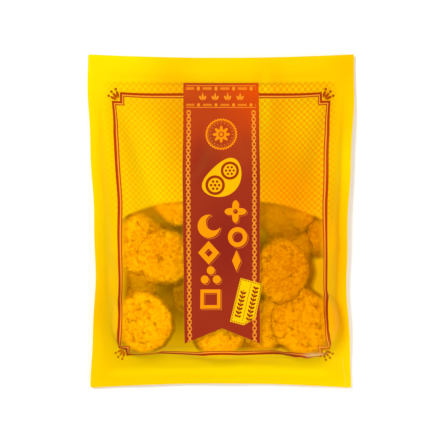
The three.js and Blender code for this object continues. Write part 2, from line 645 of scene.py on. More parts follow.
class Field:
    """A number that changes from place to place; arithmetic with it adds Math nodes."""

    def __init__(self, tree, socket):
        self.tree = tree
        self.socket = socket

    def math(self, operation, *others, clamp=False):
        node = self.tree.nodes.new("ShaderNodeMath")
        node.operation = operation
        node.use_clamp = clamp
        for slot, value in enumerate((self, *others)):
            if isinstance(value, Field):
                self.tree.links.new(value.socket, node.inputs[slot])
            else:
                node.inputs[slot].default_value = value
        return Field(self.tree, node.outputs[0])

    def __add__(self, other):
        return self.math("ADD", other)

    def __sub__(self, other):
        return self.math("SUBTRACT", other)

    def __mul__(self, other):
        return self.math("MULTIPLY", other)

    def __pow__(self, other):
        return self.math("POWER", other)

    def __neg__(self):
        return self.math("MULTIPLY", -1.0)

    def __abs__(self):
        return self.math("ABSOLUTE")

    def near(self, period):
        """The distance to the nearest whole multiple of a period."""
        return self.math("PINGPONG", period / 2)

    def both(self, other):
        """Where two shapes overlap."""
        return self.math("MAXIMUM", other)

    def either(self, other):
        """Two shapes together."""
        return self.math("MINIMUM", other)

    def line(self, width):
        """A line along a shape's edge."""
        return abs(self) - width / 2

    def ink(self, softness=EDGE_SOFTNESS):
        """1 inside a shape and 0 outside it, with a narrow soft edge."""
        return self.math("MULTIPLY_ADD", -1 / softness, 0.5, clamp=True)

    def wrapped(self, period):
        """The place within the period that it falls in, from minus half to plus half."""
        return self.math("WRAP", period / 2, -period / 2)

    def rise(self, start, end):
        """0 up to the start, 1 from the end on."""
        return self.math("MULTIPLY_ADD", 1 / (end - start), -start / (end - start), clamp=True)


# %% [markdown]
# ## Shapes and soft places
# With such sums a disc, a box and a lozenge take one line each. Not every edge of a print is sharp:
# a soft spot is 1 in its middle and fades to 0, and says where an ink runs out or grows darker.

# %% Shapes
def length_of(across, along):
    return (across * across + along * along).math("SQRT")


def disc(x, y, middle_x, middle_y, radius):
    return length_of(x - middle_x, y - middle_y) - radius


def box(x, y, middle_x, middle_y, half_width, half_height):
    return (abs(x - middle_x) - half_width).both(abs(y - middle_y) - half_height)


def lozenge(x, y, middle_x, middle_y, half_width, half_height):
    return abs(x - middle_x) + abs(y - middle_y) * (half_width / half_height) - half_width


def soft_step(share):
    return share * share * (share * -2.0 + 3.0)


def spot(x, y, middle_x, middle_y, half_width, half_height):
    """1 in the middle of a soft oval spot, 0 at its edge."""
    across = (x - middle_x) * (1 / half_width)
    along = (y - middle_y) * (1 / half_height)
    return soft_step(length_of(across, along).rise(1.0, 0.0))


def spots(x, y, rows):
    """Soft spots together; a row is a spot's middle, its half sizes and how strong it is."""
    total = x * 0.0
    for *place, strength in rows:
        total = total + spot(x, y, *place) * strength
    return total


def band(along, middle, reach):
    """1 along the middle of a soft band, 0 at its edges."""
    return soft_step(abs(along - middle).rise(reach, 0.0))


def turned(x, y, middle_x, middle_y, degrees):
    """Coordinates about a middle, turned."""
    cosine = math.cos(math.radians(degrees))
    sine = math.sin(math.radians(degrees))
    across = x - middle_x
    along = y - middle_y
    return across * cosine + along * sine, along * cosine - across * sine


# %% [markdown]
# ## Inks
# Ink goes over ink. Each layer is a Mix Color node, whose factor is where that ink lies, and what
# comes out is the ground for the next. A colour is given as on a paint chip, from 0 to 255, and
# turned into the light that a shader counts in, which is much less for the dark ones.

# %% Inks laid over one another
def chip(red, green, blue):
    """A colour as a paint chip gives it, 0 to 255, turned into the light values of a shader."""
    shares = [value / 255 for value in (red, green, blue)]
    return [s / 12.92 if s <= 0.04045 else ((s + 0.055) / 1.055) ** 2.4 for s in shares]


class Paint:
    """A colour that one ink after another is laid over."""

    def __init__(self, tree, colour):
        self.tree = tree
        self.colour = colour

    def lay(self, colour, amount):
        mix = self.tree.nodes.new("ShaderNodeMix")
        mix.data_type = "RGBA"
        self.tree.links.new(amount.socket, mix.inputs["Factor"])
        for name, value in (("A", self.colour), ("B", colour)):
            socket = [s for s in mix.inputs if s.name == name and s.type == "RGBA"][0]
            if isinstance(value, bpy.types.NodeSocket):
                self.tree.links.new(value, socket)
            else:
                socket.default_value = (*value, 1.0)
        self.colour = [s for s in mix.outputs if s.type == "RGBA"][0]


def empty_tree(material):
    material.use_nodes = True
    material.node_tree.nodes.clear()
    return material.node_tree


def sheet_coordinates(tree):
    sheet = tree.nodes.new("ShaderNodeUVMap")
    sheet.uv_map = "sheet"
    apart = tree.nodes.new("ShaderNodeSeparateXYZ")
    tree.links.new(sheet.outputs["UV"], apart.inputs["Vector"])
    return Field(tree, apart.outputs["X"]), Field(tree, apart.outputs["Y"])


# %% [markdown]
# ## The frame
# All places are in millimetres on the flat sheet, from its middle. The frame is a box with a notch
# in each corner, and a flourish of three petals fans out of each notch. Its left and right halves
# mirror each other, and so do the upper and the lower, so a corner drawn in the distances from the
# two middle lines comes out four times. It flares and sags a little, as film stretches on a full bag.

# %% The frame and its corners
FRAME_MIDDLE = (1.15, -2.6)
FRAME_SKEW = 0.012
FRAME_HALF = (81.85, 100.5)
FRAME_FLARE = (1.7, 1.4)
FLARE_RISES = (15.0, 65.0)
FLARE_FALLS = (68.0, 100.0)
FRAME_TILT = 0.0148
FOOT_LIFT = 1.6
FOOT_SAG = 2.8
FOOT_SAGS = (40.0, 84.0)
FOOT_BEGINS = (-70.0, -100.0)
FRAME_NOTCH = (6.4, 6.7)
OUTER_LINE = 1.6
LINE_GAP = 0.85
INNER_LINE = 0.7


def frame_fields(x, y):
    """The distances to the frame's lines and corner flourishes, and to the window's edge."""
    straight = x + y * FRAME_SKEW - FRAME_MIDDLE[0]
    flare = y.rise(*FLARE_RISES) * FRAME_FLARE[0] - y.rise(*FLARE_FALLS) * FRAME_FLARE[1]
    across = abs(straight) - flare - FRAME_HALF[0]
    sag = x.rise(*FOOT_SAGS) * FOOT_SAG
    level = y - (x * FRAME_TILT + FOOT_LIFT - sag) * y.rise(*FOOT_BEGINS)
    along = abs(level - FRAME_MIDDLE[1]) - FRAME_HALF[1]
    notched = across.both(along).both((across + FRAME_NOTCH[0]).either(along + FRAME_NOTCH[1]))
    inside = notched + (OUTER_LINE + LINE_GAP + INNER_LINE)
    lines = (notched + OUTER_LINE / 2).line(OUTER_LINE)
    lines = lines.either((notched + (OUTER_LINE + LINE_GAP + INNER_LINE / 2)).line(INNER_LINE))
    return lines, flourish(across + FRAME_NOTCH[0], along + FRAME_NOTCH[1]), inside, notched


PETAL_STEP = math.radians(24.5)
PETAL_MIDDLE = math.radians(46.3)


def flourish(out_x, out_y):
    """Three petals, each with a dot at its tip, that fan out of a notch."""
    radius = length_of(out_x, out_y)
    turn = abs(out_y.math("ARCTAN2", out_x) - PETAL_MIDDLE)
    turn = turn.either(abs(turn - PETAL_STEP))
    petal = length_of((radius - 5.4) * 0.42, turn * radius) - 1.0
    tip = length_of(radius - 9.1, turn * 9.1) - 0.95
    seed = length_of(radius - 2.5, turn * 8.5) - 0.5
    return petal.either(tip).either(seed)


print("the frame is", 2 * FRAME_HALF[0], "by", 2 * FRAME_HALF[1], "mm")

# %% [markdown]
# ## The ribbon
# The ribbon runs down the middle and ends in a swallowtail. It narrows a little towards both ends,
# where the bag's surface slopes away. A chain of stars and rings goes down each side: one link is
# drawn, and the distance to the nearest multiple of its length repeats it.

# %% The ribbon and its borders
RIBBON_MIDDLE = 0.55
RIBBON_LEAN = 0.005
RIBBON_HALF = 30.5
RIBBON_TOP = 105.3
RIBBON_TIPS = -92.4
RIBBON_APEX = -81.4
RIBBON_NARROWS = 5.5e-6
RIBBON_TAIL_NARROWS = 0.022
CHAIN_AT = 26.1
CHAIN_PERIOD = 4.87
CHAIN_TOP = 86.4
HEAD_MIDDLE = 95.35
HEAD_PERIOD = 13.2


def ribbon_shape(x, y):
    """The ribbon, and the distance from its middle line as if it were as wide all the way."""
    narrower = (y + 20.0) ** 2.0 * RIBBON_NARROWS + y.rise(-50.0, -95.0) * RIBBON_TAIL_NARROWS
    aside = abs(x + y * RIBBON_LEAN - RIBBON_MIDDLE) * (narrower + 1.0)
    slope = (RIBBON_APEX - RIBBON_TIPS) / RIBBON_HALF
    tail = -(y + aside * slope - RIBBON_APEX) * 0.92
    return (aside - RIBBON_HALF).both(y - RIBBON_TOP).both(tail), aside


def border_shape(aside, y):
    """A chain of small stars and rings down each side."""
    across = abs(aside - CHAIN_AT)
    along = (y - 77.0).near(CHAIN_PERIOD)
    star = (abs(across - along) - 0.3).both(across - 1.75)
    star = star.either(length_of(across, along) - 0.7)
    ring = (across + abs(along - CHAIN_PERIOD / 2) - 1.5).line(0.5)
    return star.either(ring).both(y - CHAIN_TOP)


def head_rows(x, y):
    """Beads and bars between thin lines, above and below the ribbon's head."""
    row = abs(abs(y - HEAD_MIDDLE) - 5.1)
    bead = length_of((x + 3.75).near(HEAD_PERIOD), row) - 1.15
    bar = ((x - 2.85).near(HEAD_PERIOD) - 3.4).both(row - 0.75)
    edge = abs(abs(y - HEAD_MIDDLE) - 6.9) - 0.25
    return bead.either(edge), bar


def head_motifs(x, y):
    """Four small grains of rice in a row, each between two leaves."""
    across = (x - 5.0).wrapped(9.4)
    along = y - 95.5
    grain = lozenge(across, along, 0, 0.2, 0.9, 2.6)
    leaf = length_of((abs(across) - 1.9) * 1.6 - along * 0.7, along + 0.5) - 1.3
    return grain.either(leaf).both(abs(x - 0.3) - 18.8)


print("the ribbon is", 2 * RIBBON_HALF, "by", round(RIBBON_TOP - RIBBON_TIPS, 1), "mm")

# %% [markdown]
# ## The emblem
# A round pattern is drawn in the distance from its middle and the turn about it: a cosine of the
# turn makes scallops and petals, and repeating the turn makes a ring of dots.

# %% The emblem
EMBLEM = (0.3, 68.0)
SCALLOPS = 35
SCALLOPED_RING = 11.4
THIN_RING = 9.9
DOTS = 20
DOT_RING = 8.6
PETALS = 8
FLOWER_RADIUS = 5.2


def emblem_shape(x, y):
    """A scalloped ring with a thin ring and a wreath of dots inside it, round a flower."""
    across = x - EMBLEM[0]
    along = y - EMBLEM[1]
    radius = length_of(across, along)
    turn = along.math("ARCTAN2", across)
    wave = (turn * SCALLOPS).math("COSINE") * 0.35
    ring = (radius - wave - SCALLOPED_RING).line(1.2)
    flower = radius - (turn * PETALS).math("COSINE") * 1.5 - FLOWER_RADIUS
    bright = ring.either(flower.both(-(radius - 1.8).line(0.9)))
    dots = length_of(radius - DOT_RING, turn.near(2 * math.pi / DOTS) * DOT_RING) - 0.5
    return bright, dots.either((radius - THIN_RING).line(0.3))


print("the emblem has", SCALLOPS, "scallops,", DOTS, "dots and", PETALS, "petals")

# %% [markdown]
# ## The badge
# The badge is a fat oval on a slant, whose middle line is bent by the square of the distance along
# it, with a round cracker at each end. The sign of a number says which cracker a place belongs to,
# so that both are drawn by the same few sums.

# %% The badge of two round patches
BADGE_MIDDLE = (1.3, 33.9)
BADGE_TURN = 43.4
BADGE_HALF = (17.4, 12.0)
BADGE_BEND = 0.012
UPPER_PATCH = (7.0, 39.6)
LOWER_PATCH = (-4.4, 28.4)
PATCH_RING = 6.5
PATCH_DOTS = 6
PATCH_DOT_RING = 3.1


def badge_shape(x, y):
    """A fat bean: an oval that bends round its upper left side."""
    along, across = turned(x, y, *BADGE_MIDDLE, BADGE_TURN)
    bent = across - along * along * BADGE_BEND + 1.6
    half_length, half_width = BADGE_HALF
    return (length_of(along * (1 / half_length), bent * (1 / half_width)) - 1.0) * half_width


def badge_marks(x, y):
    """A round cracker on each patch: a ring with a ring of dots in it."""
    upper = length_of(x - UPPER_PATCH[0], y - UPPER_PATCH[1]) * 1.08
    lower = length_of(x - LOWER_PATCH[0], y - LOWER_PATCH[1])
    radius = upper.either(lower)
    between = [(high + low) / 2 for high, low in zip(UPPER_PATCH, LOWER_PATCH)]
    apart = [(high - low) / 2 for high, low in zip(UPPER_PATCH, LOWER_PATCH)]
    side = (y + x - sum(between)).math("SIGN")
    from_x = x - (side * apart[0] + between[0])
    from_y = y - (side * apart[1] + between[1])
    turn = from_y.math("ARCTAN2", from_x)
    ring = (radius - PATCH_RING).line(2.2)
    dots = length_of(radius - PATCH_DOT_RING, turn.near(2 * math.pi / PATCH_DOTS) * PATCH_DOT_RING) - 1.05
    return ring.either(dots).either(radius - 1.1)


print("the badge is", 2 * BADGE_HALF[0], "by", 2 * BADGE_HALF[1], "mm")

# %% [markdown]
# ## The large shapes
# Seven plain shapes stand in two staggered columns below the badge, where a pack has its largest
# print. Cutting one shape with the inverse of another makes the moon and the holes.

# %% The large shapes
# The middle of each. Of the lower berries, the first number is how far they are aside of the top one.
FLOWER = (11.6, 8.2)
HOOP = (13.3, -11.4)
SEED = (12.4, -29.6)
MOON = (-9.4, -3.0)
MOON_BITE = (-5.6, -0.2)
DIAMOND = (-9.6, -23.4)
TOP_BERRY = (-8.0, -37.0)
BERRY_RADIUS = 3.1
LOWER_BERRIES = (4.8, -44.0)
TILE = (-8.2, -59.0)


def motif_shapes(x, y):
    """Seven simple shapes in two staggered columns."""
    across = x - FLOWER[0]
    along = y - FLOWER[1]
    radius = length_of(across, along)
    petals = (along.math("ARCTAN2", across) * 4).math("COSINE") * 2.3
    flower = (radius - petals - 6.2).both(-(radius - 1.9))
    hoop = disc(x, y, *HOOP, 5.9).line(3.3)
    seed = lozenge(x, y, *SEED, 3.4, 8.0)
    moon = disc(x, y, *MOON, 8.8).both(-disc(x, y, *MOON_BITE, 6.2))
    diamond = lozenge(x, y, *DIAMOND, 8.4, 9.0).both(-lozenge(x, y, *DIAMOND, 3.2, 3.4))
    berries = disc(abs(x - TOP_BERRY[0]), y, *LOWER_BERRIES, BERRY_RADIUS)
    berries = berries.either(disc(x, y, *TOP_BERRY, BERRY_RADIUS))
    tile = box(x, y, *TILE, 6.6, 6.0).line(2.6)
    shapes = flower.either(hoop).either(seed).either(moon)
    return shapes.either(diamond).either(berries).either(tile)


print("the columns reach from", FLOWER[1], "down to", TILE[1], "mm")

# %% [markdown]
# ## The tag
# The tag is a tilted strip with one corner cut off, a dashed edge and a dashed line down its middle.
# It is drawn upright, in coordinates that are turned with it. An ear of rice is a slanting grain that
# repeats along each side of a thin stalk.

# %% The tag
TAG_MIDDLE = (20.6, -61.4)
TAG_TURN = 14.5
TAG_HALF = (9.3, 17.2)


def tag_shapes(x, y):
    """The tag, its dashed edge and two columns of rice ears."""
    across, along = turned(x, y, *TAG_MIDDLE, -TAG_TURN)
    cut = (across - along) * 0.7 - 13.6
    tag = box(across, along, 0, -0.5, *TAG_HALF).both(cut)
    dashes = ((across + along).near(1.9) - 0.5).both((tag + 0.9).line(0.9))
    divider = across.line(0.5).both(along.near(1.3) - 0.42).both(abs(along) - 14.6)
    column = abs(across) - 4.5
    aside = abs(column)
    within = along.wrapped(3.1)
    lift = (aside - 1.25) * 0.7 + within * 0.7
    slant = (within - aside + 1.25) * 0.7
    grain = length_of(lift, slant * 1.9) - 1.5
    ears = grain.either(aside - 0.3)
    ears = ears.both(abs(along + across.rise(0.0, -0.1) * 2.4) - across.rise(0.0, 0.1) * 2.6 - 10.6)
    return tag, dashes.either(divider).either(ears)


print("the tag is", 2 * TAG_HALF[0], "by", 2 * TAG_HALF[1], "mm and leans", TAG_TURN, "degrees")

# %% [markdown]
# ## The yellow ground
# The ground is one yellow with a warmer ink over it, which is painted shade: the yellow runs to
# orange on the right and beside the ribbon, where the film lies in shade, and a few spots of painted
# light make it paler. Soft oval spots say where, as a sum of smooth bumps from a short table. A
# gradient texture would give one even run, which looks like paint and not like film.

# %% Warmth
YELLOW = chip(254, 231, 0)
WARM = chip(250, 150, 0)
EVEN_WARMTH = 0.20
CORNER_WARMTH = 4.0e-6

# The middle of a spot of painted shade, its half width and half height, and how much warmer it is there;
# where that is less than nothing, the spot is painted light.
PAINTED_SHADE_SPOTS = (
    (-26, 78, 48, 75, 0.33),
    (52, 22, 54, 62, 0.46),
    (36, 82, 20, 60, 0.20),
    (92, -32, 18, 85, 0.38),
    (86, 72, 20, 40, 0.14),
    (88, -76, 16, 30, 0.30),
    (-95, -55, 36, 65, 0.12),
    (100, 118, 26, 34, 0.16),
    (-80, 116, 52, 34, -0.16),
    (95, 38, 14, 40, -0.10),
    (34, 90, 7, 34, -0.30),
    (46, 74, 14, 50, 0.10),
    (-53, 45, 22, 70, -0.20),
    (-15, 112, 28, 16, -0.18),
)


def painted_shade(x, y, panel):
    """Painted shade: where the yellow runs to orange, most on the right and beside the ribbon."""
    amount = x * y * CORNER_WARMTH + EVEN_WARMTH + panel * 0.02 + spots(x, y, PAINTED_SHADE_SPOTS)
    inner = abs(x).rise(88.0, 76.0)
    # Painted shade runs along the top seal's edge, and painted light along the bottom seal.
    amount = amount + band(y, 110.0, 6.0) * inner * 0.07
    amount = amount - band(y, -114.5, 6.0) * inner * 0.14
    return amount.math("MAXIMUM", 0.0).math("MINIMUM", 1.0)


print("spots of warmer and cooler yellow:", len(PAINTED_SHADE_SPOTS))

# %% [markdown]
# ## The checked panel
# The upper half is covered with small orange checks. The product of two sine waves, one across and
# one along, is positive on every second field of a checkerboard.

# %% Checks
CHECK_DARK = chip(250, 90, 0)
CHECK = (2.3, 2.3)
PANEL_HALF = 88.6
PANEL_TOP = 105.0
PANEL_FADES = (-14.0, 10.0)
CHECK_INK = 0.22
CHECK_CONTRAST = 1.3
DARKER_CHECKS = (-26, 70, 40, 60)


def lay_ground(paint, x, y):
    """The yellow ground and the panel of checks, which fades out downwards."""
    panel = abs(x).rise(PANEL_HALF, PANEL_HALF - 9) * (y - PANEL_TOP).ink() * y.rise(*PANEL_FADES)
    checks = (x * (math.pi / CHECK[0])).math("SINE") * (y * (math.pi / CHECK[1])).math("SINE")
    checks = (checks * CHECK_CONTRAST + 0.5).math("MAXIMUM", 0.0).math("MINIMUM", 1.0)
    # The warmer ink laid here is painted shade.
    paint.lay(WARM, painted_shade(x, y, panel))
    check_ink = x.rise(-60.0, -20.0) * 0.1 + x.rise(0.0, 50.0) * 0.09 + CHECK_INK
    check_ink = check_ink + spot(x, y, *DARKER_CHECKS) * 0.12
    paint.lay(CHECK_DARK, panel * checks * check_ink)


# %% [markdown]
# ## The window
# The lower half of the front is left without ink, so that the crackers show. The window's top is a
# shallow arch, the cube of the distance from the middle line, and its edge is soft all round, as the
# ink thins out there. Under the arch's left end a soft spot of orange ink is painted shade, which
# hides the crackers more.

# %% Window
ARCH_PEAK = (-1.0, 17.2)
ARCH_FALL = 2.83e-5
ARCH_POWER = 3.0
VIGNETTE = 4.5
VIGNETTE_HIDES = 0.6
ARCH_EDGE = (0.3, -1.9)
TOP_LEFT_SHADE = (-50, 9, 32, 16)
TOP_LEFT_HIDES = 0.45


def window_fields(x, y, inside):
    """The arch over the window, a painted shade under its left end, and how clear the window is."""
    arch = (abs(x - ARCH_PEAK[0]) ** ARCH_POWER) * ARCH_FALL + y - ARCH_PEAK[1]
    top_left_shade = spot(x, y, *TOP_LEFT_SHADE)
    vignette = soft_step(inside.rise(-VIGNETTE, 0.0)) * VIGNETTE_HIDES
    window = inside.ink() * arch.rise(*ARCH_EDGE) * (-vignette + 1.0)
    window = window * (-(top_left_shade * TOP_LEFT_HIDES) + 1.0)
    return arch, top_left_shade, window


# %% [markdown]
# ## The frame's inks
# The frame is two red lines with a paler ink between them, which goes dark red in three spots at
# the sides and the foot. Two pale streaks are painted highlights: a glint of the lamp on the frame's
# foot, and the gleam of a sharp fold in the right seal, which bending into the mesh would take a
# thousand times its cells.

# %% The frame's inks
FRAME_RED = chip(186, 60, 2)
FRAME_BETWEEN = chip(255, 176, 52)
DARK_BETWEEN_RED = chip(150, 48, 4)
CORNER_RED = chip(186, 78, 2)
CORNER_BROWN = chip(206, 112, 2)
LINE_BROWN = chip(214, 128, 2)
GLINT_PALE = chip(250, 222, 150)
BROWN_FOOT = (80, -100, 18, 22)
FOOT_GLINT = (72, -100, 12, 2.8)

# Where the paler ink between the frame's lines goes dark red.
DARK_BETWEEN_SPOTS = (
    (86, -68, 9, 26, 1.0),
    (44, -102, 26, 6, 1.0),
    (-81, -56, 6, 20, 0.6),
)


def lay_lines(paint, x, y, lines, corners):
    """The frame's lines and the flourishes in its notches, browner towards the lower right."""
    paint.lay(FRAME_RED, lines.ink())
    paint.lay(LINE_BROWN, lines.ink() * spot(x, y, *BROWN_FOOT))
    paint.lay(CORNER_BROWN, corners.ink())
    paint.lay(CORNER_RED, corners.ink() * y.rise(-40.0, 40.0))


def painted_glints(x, y):
    """Painted highlights: a glint of the lamp on the frame's foot, and the gleam of a fold in the right
    seal.
    """
    glint_on_foot = spot(x, y, *FOOT_GLINT) * 0.8
    seal_fold_gleam = (x - 92.8 + (y + 88.5) * 0.084).line(0.4).both(y + 103.0)
    return glint_on_foot + seal_fold_gleam.ink() * 0.3


# %% [markdown]
# ## The ribbon's inks
# The ribbon is one dark red that goes crimson in two places. Towards the head it is lighter, which is
# painted light shining through it from behind, and the head's right side has a painted highlight.
# On it lie, from the top: a row of rice grains between beads and bars, a faint emblem, a badge with
# two round crackers, and seven large simple shapes with a thin pale line and a red gap round each.
# The chain goes down both sides.

# %% Ribbon inks
RIBBON_RED = chip(148, 41, 23)
RIBBON_BACKLIT_RED = chip(184, 62, 16)
RIBBON_HIGHLIGHT_RED = chip(212, 70, 4)
RIBBON_CRIMSON = chip(128, 26, 22)
RIBBON_PATTERN = chip(240, 144, 26)
CHAIN_ORANGE = chip(246, 156, 40)
BADGE_YELLOW = chip(249, 172, 2)
MOTIF_ORANGE = chip(252, 142, 4)
MARK_RED = chip(145, 45, 10)
CRIMSON_SPOTS = (
    (4, -18, 36, 50, 0.8),
    (-12, 48, 18, 26, 0.6),
)


def lay_head(red, x, y, aside):
    """The row of grains between beads and bars, and the emblem below it."""
    bead, bar = head_rows(x, y)
    on_head = aside.rise(28.4, 27.8)
    red.lay(RIBBON_PATTERN, bar.ink() * on_head * 0.55)
    red.lay(RIBBON_PATTERN, bead.ink() * on_head * 0.85)
    red.lay(RIBBON_PATTERN, head_motifs(x, y).ink() * 0.9)
    bright, faint = emblem_shape(x, y)
    red.lay(RIBBON_PATTERN, faint.ink() * 0.45)
    red.lay(MOTIF_ORANGE, bright.ink() * 0.9)


def ribbon_inks(tree, x, y):
    """The ribbon with all that is printed on it, and where it lies."""
    ribbon, aside = ribbon_shape(x, y)
    red = Paint(tree, RIBBON_RED)
    # Painted light shining through from behind makes the red lighter towards the head.
    red.lay(RIBBON_BACKLIT_RED, y.rise(32.0, 104.0))
    red.lay(RIBBON_CRIMSON, spots(x, y, CRIMSON_SPOTS))
    # A painted highlight on the head's right side.
    red.lay(RIBBON_HIGHLIGHT_RED, y.rise(62.0, 98.0) * x.rise(-5.0, 22.0) * 0.8)
    lay_head(red, x, y, aside)
    red.lay(CHAIN_ORANGE, border_shape(aside, y).ink())
    outline = motif_shapes(x - 0.9, y + 0.9).line(0.3)
    motifs = motif_shapes(x, y)
    red.lay(RIBBON_PATTERN, outline.ink() * 0.8)
    red.lay(RIBBON_RED, (motifs - 0.45).ink())
    red.lay(MOTIF_ORANGE, motifs.ink())
    red.lay(BADGE_YELLOW, badge_shape(x, y).ink())
    red.lay(MARK_RED, badge_marks(x, y).ink())
    return red.colour, ribbon.ink()


# %% [markdown]
# ## The front print
# The inks go on in the order of a real print: the ground, the checks, the frame, the ribbon and the
# tag. The print then answers four questions for the film: which colour it has here, how clear it
# is, how much light comes through its ink from behind, and how near the window's edge this is.

# %% Front print
TAG_YELLOW = chip(240, 190, 4)
GROUND_GLOW = 0.42
RIBBON_GLOW = 0.08
EDGE_REACH = 36.0


def front_print(tree, x, y):
    paint = Paint(tree, YELLOW)
    lay_ground(paint, x, y)
    lines, corners, inside, notched = frame_fields(x, y)
    arch, top_left_shade, window = window_fields(x, y, inside)
    # Orange ink runs down under the arch, more to the right; under its left end it is painted shade.
    run = x.rise(-60.0, 80.0) * 0.5 + top_left_shade * 0.7
    paint.lay(WARM, arch.rise(2.0, -2.5) * inside.ink() * run)
    between = notched.both(-inside).ink()
    paint.lay(FRAME_BETWEEN, between)
    lay_lines(paint, x, y, lines, corners)
    paint.lay(DARK_BETWEEN_RED, between * spots(x, y, DARK_BETWEEN_SPOTS))
    # Painted highlights on the frame's foot and on a fold in the right seal.
    paint.lay(GLINT_PALE, painted_glints(x, y))
    ribbon_colour, on_ribbon = ribbon_inks(tree, x, y)
    paint.lay(ribbon_colour, on_ribbon)
    tag, tag_marks = tag_shapes(x, y)
    on_tag = tag.ink()
    paint.lay(TAG_YELLOW, on_tag)
    paint.lay(MARK_RED, tag_marks.both(tag).ink())
    clear = window * (-on_ribbon + 1.0) * (-on_tag + 1.0) * (-lines.ink() + 1.0)
    glow = on_ribbon * (RIBBON_GLOW - GROUND_GLOW) + GROUND_GLOW
    near_edge = inside.both(arch).rise(-EDGE_REACH, 0.0)
    return paint.colour, clear, glow, near_edge


# %% [markdown]
# ## The veil of the window
# Satin film scatters light. Where it touches a cracker it is nearly clear, and the deeper the
# cracker lies, the more it turns into a veil, whose brown is painted shade of the deep inside.
# Between the crackers and the frame, where the film hangs over nothing, the veil is painted bright
# yellow as painted light from the side, more so to the right. The attribute "gap" from above tells
# the three apart. In the window's upper right corner a spot of painted light keeps the veil yellow.

# %% Veil
NEAR_VEIL = chip(252, 180, 0)
SHADED_DEEP_VEIL = chip(164, 116, 0)
LIT_EDGE_VEIL = chip(240, 192, 0)
NEAR_VEIL_HIDES = 0.14
DEEP_VEIL_MORE = 0.36
OPEN_VEIL_MORE = 0.6
VEIL_DEPTHS = (2.5, 8.0)
OPEN_DEPTHS = (12.0, 20.0)
LIT_CORNER = (42, 5, 30, 24)


def veil_of(tree, x, y, near_edge):
    """The veil's colour, painted shade in the deep and painted light at the open edges, and how much of
    what lies behind it is hidden.
    """
    gap = tree.nodes.new("ShaderNodeAttribute")
    gap.attribute_name = "gap"
    deep = Field(tree, gap.outputs["Fac"]).rise(*VEIL_DEPTHS)
    open_edge = Field(tree, gap.outputs["Fac"]).rise(*OPEN_DEPTHS) * near_edge
    veil = Paint(tree, NEAR_VEIL)
    # Painted shade where the cracker lies deep, painted light where the film hangs over nothing.
    veil.lay(SHADED_DEEP_VEIL, deep)
    veil.lay(LIT_EDGE_VEIL, open_edge)
    # More painted light at the open edges to the right, and in the window's upper right corner.
    veil.lay(NEAR_VEIL, open_edge * x.rise(20.0, 70.0) * 0.7)
    veil.lay(NEAR_VEIL, spot(x, y, *LIT_CORNER) * 0.5)
    return veil.colour, deep * DEEP_VEIL_MORE + open_edge * OPEN_VEIL_MORE + NEAR_VEIL_HIDES


# %% [markdown]
# ## Ink and film
# Printed film is two shaders mixed by how clear it is. The clear part is a Transparent shader with
# the film's tint, so the crackers keep their own light and only lose their blue. A Glass shader
# would bend the light and need far more samples for two sheets 0.1 mm thick. The printed part is
# satin plastic, mixed with a Translucent shader for the light that shines through the ink.

# %% Film material
FILM_TINT = (0.985, 0.77, 0.02)
WARM_TINT = (0.84, 0.56, 0.01)
GLOSS_TINT = (1.0, 0.8, 0.05)
WARM_SIDE = (66.0, -22.0)
WARM_REACH = (80.0, 18.0)
WARM_PAIR = (-48, -24, 28, 32)


def mixed(tree, amount, first, second):
    mix = tree.nodes.new("ShaderNodeMixShader")
    tree.links.new(amount.socket, mix.inputs["Fac"])
    tree.links.new(first.outputs[0], mix.inputs[1])
    tree.links.new(second.outputs[0], mix.inputs[2])
    return mix


def clear_shader(tree, x, y):
    """Clear film with a yellow tint, warmer to the right and over one pair of crackers."""
    tint = Paint(tree, FILM_TINT)
    warm_side = length_of(x - WARM_SIDE[0], (y - WARM_SIDE[1]) * 0.75)
    tint.lay(WARM_TINT, warm_side.rise(*WARM_REACH))
    tint.lay(WARM_TINT, spot(x, y, *WARM_PAIR) * 0.45)
    through = tree.nodes.new("ShaderNodeBsdfTransparent")
    tree.links.new(tint.colour, through.inputs["Color"])
    return through


def ink_shader(tree, colour, glow):
    """Satin ink that light from behind shines through."""
    satin = tree.nodes.new("ShaderNodeBsdfPrincipled")
    satin.inputs["Roughness"].default_value = 0.42
    satin.inputs["Specular IOR Level"].default_value = 0.12
    satin.inputs["Specular Tint"].default_value = (*GLOSS_TINT, 1.0)
    tree.links.new(colour, satin.inputs["Base Color"])
    from_behind = tree.nodes.new("ShaderNodeBsdfTranslucent")
    tree.links.new(colour, from_behind.inputs["Color"])
    return mixed(tree, glow, satin, from_behind)


def make_film(material, printed):
    """Film whose ink hides what is behind it, but for the window."""
    tree = empty_tree(material)
    x, y = sheet_coordinates(tree)
    colour, clear, glow, near_edge = printed(tree, x, y)
    veil_colour, hidden = veil_of(tree, x, y, near_edge)
    shade = Paint(tree, colour)
    shade.lay(veil_colour, clear)
    opaque = -(clear * (-hidden + 1.0)) + 1.0
    film_shader = mixed(tree, opaque, clear_shader(tree, x, y), ink_shader(tree, shade.colour, glow))
    output = tree.nodes.new("ShaderNodeOutputMaterial")
    tree.links.new(film_shader.outputs[0], output.inputs["Surface"])


make_film(front_ink, front_print)
print("front print:", len(front_ink.node_tree.nodes), "nodes")

# %% [markdown]
# ## The back print
# The back is never the side that shows. It carries the same yellow ground, the frame's lines and a
# pale panel with nothing on it, where a pack has its list of contents. It has no window, so it is
# nowhere clear.

# %% Back print
PANEL_PALE = chip(250, 226, 120)
BACK_PANEL = (0, -20, 55, 45)


def back_print(tree, x, y):
    paint = Paint(tree, YELLOW)
    lines, corners, inside, notched = frame_fields(x, y)
    lay_lines(paint, x, y, lines, corners)
    panel = box(x, y, *BACK_PANEL)
    paint.lay(PANEL_PALE, panel.ink())
    paint.lay(FRAME_RED, (panel - 1.5).line(0.6).ink())
    nowhere = x * 0.0
    return paint.colour, nowhere, nowhere + GROUND_GLOW, nowhere


make_film(back_ink, back_print)
print("back print:", len(back_ink.node_tree.nodes), "nodes")

